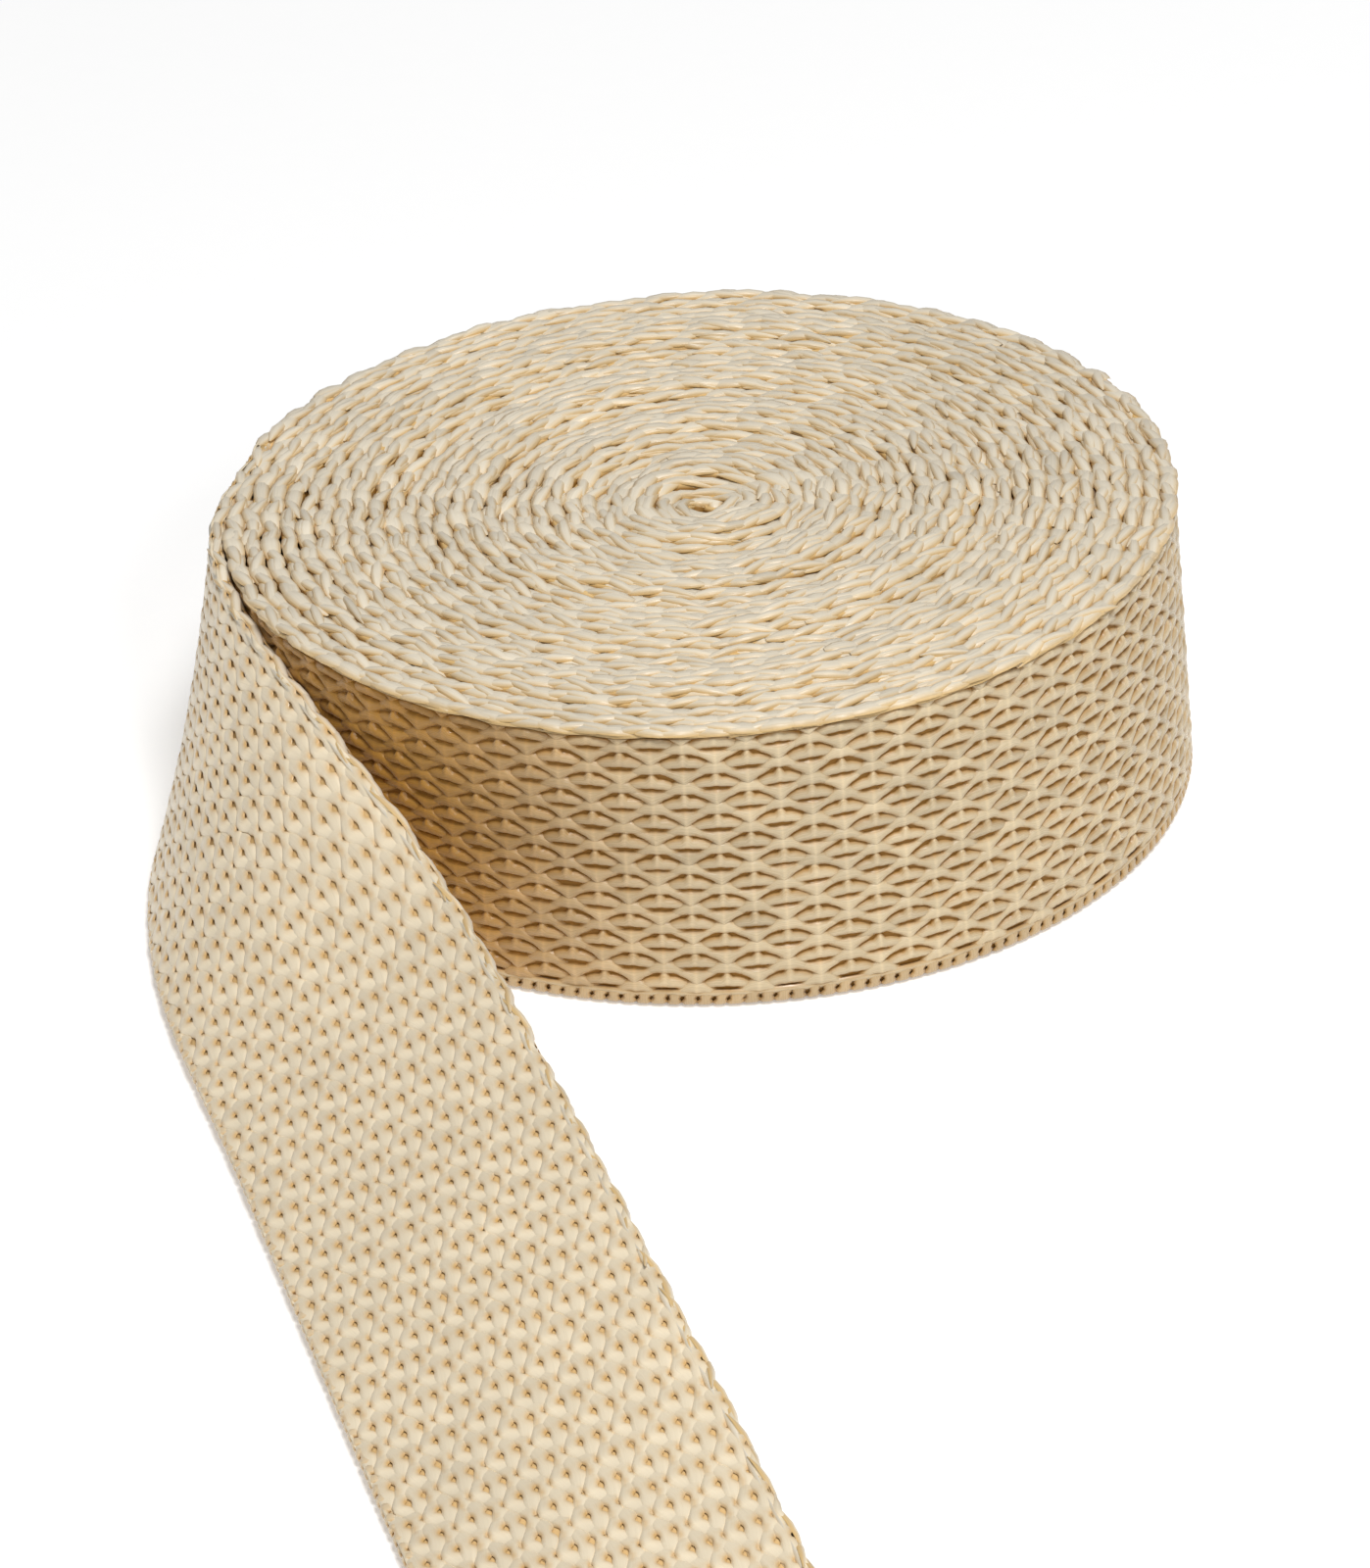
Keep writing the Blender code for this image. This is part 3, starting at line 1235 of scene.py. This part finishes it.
@dataclass(frozen=True)
class GroundFinish:
    """The body of the cloth, seen only between its yarns, painted dark brown for the shade there,
    lighter at its head and paler on the loose end.
    """

    name: str
    light: Colour = (0.34, 0.165, 0.022)
    dark: Colour = (0.24, 0.11, 0.012)
    pale: Colour = (0.86, 0.57, 0.25)
    head: Colour = (0.74, 0.50, 0.21)
    roughness: float = 0.6
    roughness_swing: float = 0.2
    grain: float = 0.5
    patch_scale: Axes = (700.0, 1800.0, 900.0)

    def make(self) -> bpy.types.Material:
        """Build the material.

        Returns:
            The material.
        """
        shade = Shade(self.name)
        patch = shade.noise(shade.read("fibre", "Vector"), self.patch_scale, 3.0)
        # Painted shade: dark body colours, paler on the loose end, and a lighter painted head.
        wound = shade.blend(patch, self.dark, self.light)
        body = shade.blend(shade.read("pale"), wound, self.pale)
        shade.feed("Base Color", shade.blend(shade.read("painted_shading"), body, self.head))
        shade.feed("Roughness", self.roughness + patch * self.roughness_swing)
        shade.relief(self.grain, patch)
        return shade.material


@dataclass(frozen=True)
class FloorFinish:
    """Pale seamless paper."""

    name: str = "pale_paper"
    colour: Colour = (0.90, 0.90, 0.90)
    darkening: float = 0.985
    roughness: float = 0.9
    gloss: float = 0.1
    glow: float = 0.28
    grain_scale: Axes = (400.0, 400.0, 400.0)

    def make(self) -> bpy.types.Material:
        """Build the material.

        Returns:
            The material.
        """
        shade = Shade(self.name)
        place = shade.node("ShaderNodeNewGeometry", "Position", {}, {})
        darker = tuple(value * self.darkening for value in self.colour)
        grain = shade.noise(place, self.grain_scale)
        shade.feed("Base Color", shade.blend(grain, self.colour, darker))
        shade.feed("Roughness", self.roughness)
        shade.feed("Specular IOR Level", self.gloss)
        shade.feed("Emission Color", (1.0, 1.0, 1.0, 1.0))
        shade.feed("Emission Strength", self.glow)
        return shade.material


def dress(piece: bpy.types.Object) -> bpy.types.Object:
    """Let a piece ride with the roll.

    Args:
        piece: The piece.

    Returns:
        The piece.
    """
    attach(piece, "root")
    return piece


@dataclass
class WoundRoll:
    """The wound webbing: its cloth, the yarns of its wall and the strands of its edges."""

    gauge: WeaveGauge
    yarn: bpy.types.Material
    rim_yarn: bpy.types.Material
    deep_yarn: bpy.types.Material
    ground: bpy.types.Material
    wall_turns: float = 1.03
    # Angles round the roll over which painted shade darkens the wall beside the loose end.
    nook: tuple[float, float] = (228.0, 272.0)
    body_below: float = 2.0 * MM

    def build(self) -> list[bpy.types.Object]:
        """Build and dress every piece of the roll.

        Returns:
            The pieces, the cloth first.
        """
        course = self.gauge.course
        begin = float(course.wound_along[0])
        wall = course.along_at(-self.wall_turns)
        cloth = GroundCloth(
            self.gauge,
            begin,
            0.0,
            outer_half=0.16 * MM,
            inner_half=0.62 * MM,
            filled_half=0.60 * MM,
            filled_until=wall - self.body_below,
        )
        meshes = [(cloth.build("wound_cloth"), self.ground)]
        floats = FloatField(self.gauge, wall, 0.0, Face.OUTER, 11, nook=self.nook)
        for wound, loose in zip(WALL_FORMS, LOOSE_FORMS):
            meshes.append((floats.build(wound, loose, f"wall_{wound.name}_yarns"), self.yarn))
        for strands, name, finish in (
            (RimFloats(self.gauge, begin, 0.0), "wound_rim_strands", self.rim_yarn),
            (self.under_floats(begin, 0.0), "wound_rim_understrands", self.rim_yarn),
            (self.rim_underlay(begin, 0.0), "wound_rim_underlay", self.deep_yarn),
            (self.inner_foot_strand(begin, wall), "wound_foot_strand", self.yarn),
            (FootLoops(self.gauge, wall, 0.0), "wall_foot_loops", self.yarn),
            (self.foot_strand(wall, 0.0), "wall_foot_strand", self.yarn),
        ):
            meshes.append((strands.build(name), finish))
        pieces = [dress(mesh.make(finish)) for mesh, finish in meshes]
        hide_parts("webbing_roll")
        return pieces

    def inner_foot_strand(self, first: float, last: float) -> EdgeStrand:
        """Give the plain strand along the lower edge of the inner laps.

        Args:
            first: Where it starts along the webbing.
            last: Where it ends.

        Returns:
            The strand.
        """
        return EdgeStrand(
            self.gauge,
            first,
            last,
            middle=0.40 * MM,
            swing=0.20 * MM,
            phase=0.0,
            half_width=0.5 * MM,
            half_height=0.4 * MM,
            steps=4,
            sides=4,
        )

    def foot_strand(self, first: float, last: float) -> EdgeStrand:
        """Give the strand that runs just above the loops of the lower edge.

        Args:
            first: Where it starts along the webbing.
            last: Where it ends.

        Returns:
            The strand.
        """
        return EdgeStrand(
            self.gauge,
            first,
            last,
            middle=1.20 * MM,
            swing=0.03 * MM,
            phase=0.0,
            half_width=0.20 * MM,
            half_height=0.30 * MM,
            stand=0.30 * MM,
            lift=0.06 * MM,
            narrowing=0.15,
            wander=0.03 * MM,
            seed=4,
        )

    def under_floats(self, first: float, last: float) -> RimFloats:
        """Give the second, lower layer of short strands on the upper edge.

        Args:
            first: Where it starts along the webbing.
            last: Where it ends.

        Returns:
            The strands.
        """
        return RimFloats(
            self.gauge,
            first,
            last,
            half_length=2.0 * MM,
            half_width=0.82 * MM,
            height=0.32 * MM,
            level=0.45 * MM,
            slant=-0.30 * MM,
            taper=0.7,
            phase=1.0,
            seed=8,
        )

    def rim_underlay(self, first: float, last: float) -> EdgeStrand:
        """Give the strand that runs under the one on the upper edge.

        Args:
            first: Where it starts along the webbing.
            last: Where it ends.

        Returns:
            The strand.
        """
        return EdgeStrand(
            self.gauge,
            first,
            last,
            middle=self.gauge.course.width - 0.74 * MM,
            swing=0.10 * MM,
            phase=0.5,
            half_width=0.64 * MM,
            half_height=0.30 * MM,
            steps=8,
            sides=5,
            seed=2,
        )


@dataclass
class LooseEnd:
    """The loose end: its cloth, the yarns of both faces, its edges and its cut end."""

    gauge: WeaveGauge
    roll: WoundRoll
    yarn: bpy.types.Material
    rim_yarn: bpy.types.Material
    ground: bpy.types.Material
    overrun: float = 2.0 * MM
    cut_margin: float = 0.4 * MM
    edge_margin: float = 0.3 * MM
    body_half: float = 0.28 * MM
    rim_half_width: float = 0.50 * MM
    loop_lean: float = 0.2 * MM
    seed: int = 20
    rows_out: dict[Face, tuple[float, ...]] = field(
        default_factory=lambda: {
            Face.OUTER: (0.0, 0.06, 0.12, 0.20, 0.36, 0.56, 0.79, 1.0),
            Face.INNER: (0.0, 0.12, 0.30, 0.60, 1.0),
        }
    )
    steps_across: dict[Face, int] = field(default_factory=lambda: {Face.OUTER: 6, Face.INNER: 5})
    edge_loop: Rows = in_metres(
        # across, off, half width along, half thickness
        (0.80, 0.42, 0.52, 0.14),
        (0.55, 0.47, 0.56, 0.16),
        (0.32, 0.38, 0.54, 0.18),
        (0.20, 0.16, 0.46, 0.18),
        (0.20, -0.16, 0.46, 0.18),
        (0.32, -0.38, 0.54, 0.18),
        (0.80, -0.42, 0.52, 0.14),
    )
    seal_rows: int = 40
    seal_sides: int = 8
    seal_seed: int = 5
    seal_half_height: float = 0.52 * MM
    seal_half_length: float = 0.7 * MM
    seal_set_back: float = 0.8 * MM
    seal_spread: float = 0.08
    seal_taper: float = 0.4

    def build(self) -> list[bpy.types.Object]:
        """Build and dress every piece of the loose end.

        Returns:
            The pieces, the cloth first.
        """
        course = self.gauge.course
        end = course.loose_length
        half = self.body_half
        cloth = GroundCloth(
            self.gauge, 0.0, end, half, half, half, filled_until=0.0, step=0.0012, split=6
        )
        meshes = [(cloth.build("loose_cloth"), self.ground)]
        for face in Face:
            floats = FloatField(
                self.gauge,
                0.0,
                end + self.overrun,
                face,
                self.seed + face.value,
                lowest=0.0002,
                highest=0.0249,
                margin=0.25 * MM,
                rows_out=self.rows_out[face],
                steps_across=self.steps_across[face],
                cut=end - self.cut_margin,
            )
            for wound, loose in zip(WALL_FORMS, LOOSE_FORMS):
                name = f"loose_{face.name.lower()}_{loose.name}_yarns"
                meshes.append((floats.build(wound, loose, name), self.yarn))
        last = end - self.edge_margin
        rim = RimFloats(self.gauge, 0.0, last, half_width=self.rim_half_width)
        meshes.append((rim.build("loose_rim_strands"), self.rim_yarn))
        underlay = self.roll.rim_underlay(0.0, last)
        meshes.append((underlay.build("loose_rim_underlay"), self.rim_yarn))
        loops = FootLoops(
            self.gauge, 0.0, last, course_of_loop=self.edge_loop, lean=self.loop_lean
        )
        meshes.append((loops.build("loose_foot_loops"), self.yarn))
        meshes.append((self.sealed_end(), self.yarn))
        pieces = [dress(mesh.make(finish)) for mesh, finish in meshes]
        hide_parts("loose_end")
        return pieces

    def sealed_end(self) -> YarnMesh:
        """Shape the fused bead across the cut end.

        Returns:
            The mesh.
        """
        course = self.gauge.course
        rng = np.random.default_rng(self.seal_seed)
        across = np.linspace(self.edge_margin, course.width - self.edge_margin, self.seal_rows)
        angle = np.arange(self.seal_sides) / self.seal_sides * 2.0 * math.pi
        fat = 1.0 + self.seal_spread * rng.normal(0.0, 1.0, self.seal_rows)
        fat[0] = fat[-1] = self.seal_taper
        off = (self.seal_half_height * fat)[:, None] * np.sin(angle)
        along = (self.seal_half_length * fat)[:, None] * np.cos(angle)
        along = course.loose_length - self.seal_set_back + along
        across = np.broadcast_to(across[:, None], off.shape)
        points = course.place(along, across, off).reshape(-1, 3)
        quads = grid_quads(1, self.seal_rows, self.seal_sides, ring=True)
        fibre = np.stack([across, off, along], -1)
        blank = np.zeros(len(points))
        return YarnMesh("sealed_end", points, quads, along, fibre, blank, blank + 1.0)


@dataclass
class Viewpoint:
    """Camera that frames the roll and the loose end as a long lens does from the front."""

    lens: float = 156.11
    sensor: float = 36.0
    distance: float = 0.5531
    elevation: float = 28.43
    target_height: float = 0.0125
    frame_width: float = 1398.0
    frame_height: float = 1600.0
    target_column: float = 739.2
    target_row: float = 647.3
    roll: float = 3.484

    def build(self) -> None:
        """Make the camera and give it to the scene."""
        rise = math.radians(self.elevation)
        back = Vector((0.0, -math.cos(rise), math.sin(rise)))
        focal = self.lens / self.sensor * self.frame_height
        pan = math.atan2(self.target_column - self.frame_width / 2, focal)
        tilt = math.atan2(self.target_row - self.frame_height / 2, focal)
        about = Matrix.Rotation(pan, 3, "Z")
        forward = about @ -back
        right = about @ Vector((1.0, 0.0, 0.0))
        forward = Matrix.Rotation(tilt, 3, right) @ forward
        up = right.cross(forward)
        bank = Matrix.Rotation(math.radians(self.roll), 3, forward)
        right = bank @ right
        up = bank @ up
        data = bpy.data.cameras.new("studio_camera")
        data.lens = self.lens
        data.sensor_fit = "AUTO"
        data.sensor_width = self.sensor
        data.clip_start = 0.01
        camera = bpy.data.objects.new("studio_camera", data)
        turn = Matrix((right, up, -forward)).transposed().to_4x4()
        place = Vector((0.0, 0.0, self.target_height)) + back * self.distance
        camera.matrix_world = Matrix.Translation(place) @ turn
        bpy.context.scene.collection.objects.link(camera)
        bpy.context.scene.camera = camera


@dataclass(frozen=True)
class SoftLight:
    """A square soft light that looks at the roll."""

    name: str
    place: Axes
    side: float
    power: float
    target: Axes = (0.0, 0.0, 0.01)

    def build(self) -> None:
        """Make the light."""
        data = bpy.data.lights.new(self.name, "AREA")
        data.size = self.side
        data.energy = self.power
        lamp = bpy.data.objects.new(self.name, data)
        lamp.location = self.place
        aim = Vector(self.target) - Vector(self.place)
        lamp.rotation_euler = aim.to_track_quat("-Z", "Y").to_euler()
        bpy.context.scene.collection.objects.link(lamp)


@dataclass
class Studio:
    """Pale floor, white surround and soft lights."""

    floor_half: float = 3.0
    floor_level: float = -0.1 * MM
    surround: float = 0.26
    lights: tuple[SoftLight, ...] = (
        SoftLight("overhead_light", (0.22, -0.55, 1.20), 0.35, 11.0),
        SoftLight("front_light", (0.30, -0.94, 0.69), 0.15, 2.0),
    )

    def build(self) -> None:
        """Make the floor, the surround and the lights."""
        half = self.floor_half
        corners = [(-half, -half), (half, -half), (half, half), (-half, half)]
        mesh = bpy.data.meshes.new("floor")
        mesh.from_pydata([(x, y, self.floor_level) for x, y in corners], [], [(0, 1, 2, 3)])
        mesh.materials.append(FloorFinish().make())
        floor = bpy.data.objects.new("floor", mesh)
        bpy.context.scene.collection.objects.link(floor)
        world = bpy.data.worlds.new("surround")
        world.use_nodes = True
        light = world.node_tree.nodes["Background"]
        light.inputs["Color"].default_value = (1.0, 1.0, 1.0, 1.0)
        light.inputs["Strength"].default_value = self.surround
        bpy.context.scene.world = world
        bpy.context.scene.view_settings.view_transform = "Standard"
        for soft_light in self.lights:
            soft_light.build()


# Painted shade: the wall yarn and the deep yarn are darker, warmer copies of the cream yarn, and
# every flank colour is a shaded copy of its crest colour.
CREAM = (0.86, 0.745, 0.55)
SHADED_AMBER = (0.66, 0.39, 0.12)
SHADED_WALL_YARN = YarnFinish("shaded_wall_yarn", (0.635, 0.515, 0.33), (0.42, 0.21, 0.036), CREAM, SHADED_AMBER, 0.28)
LOOSE_YARN = YarnFinish(
    "loose_yarn", CREAM, SHADED_AMBER, CREAM, SHADED_AMBER, streak_share=0.06, tone_share=0.02, grain=0.25
)
RIM_YARN = YarnFinish.even("rim_yarn", (0.815, 0.75, 0.62), (0.70, 0.47, 0.19))
SHADED_DEEP_YARN = YarnFinish.even("deep_yarn", (0.74, 0.52, 0.24), (0.62, 0.38, 0.12))


def main() -> None:
    """Build the roll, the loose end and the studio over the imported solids."""
    logging.basicConfig(level=logging.INFO, format="%(message)s")
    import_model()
    Viewpoint().build()
    Studio().build()
    gauge = WeaveGauge(WebbingCourse())
    rim_yarn = RIM_YARN.make()
    roll = WoundRoll(
        gauge, SHADED_WALL_YARN.make(), rim_yarn, SHADED_DEEP_YARN.make(), GroundFinish("wound_body").make()
    )
    loose_end = LooseEnd(
        gauge, roll, LOOSE_YARN.make(), rim_yarn, GroundFinish("loose_body").make()
    )
    for piece in roll.build() + loose_end.build():
        LOG.info("%s: %d faces", piece.name, len(piece.data.polygons))


if __name__ == "__main__":
    main()
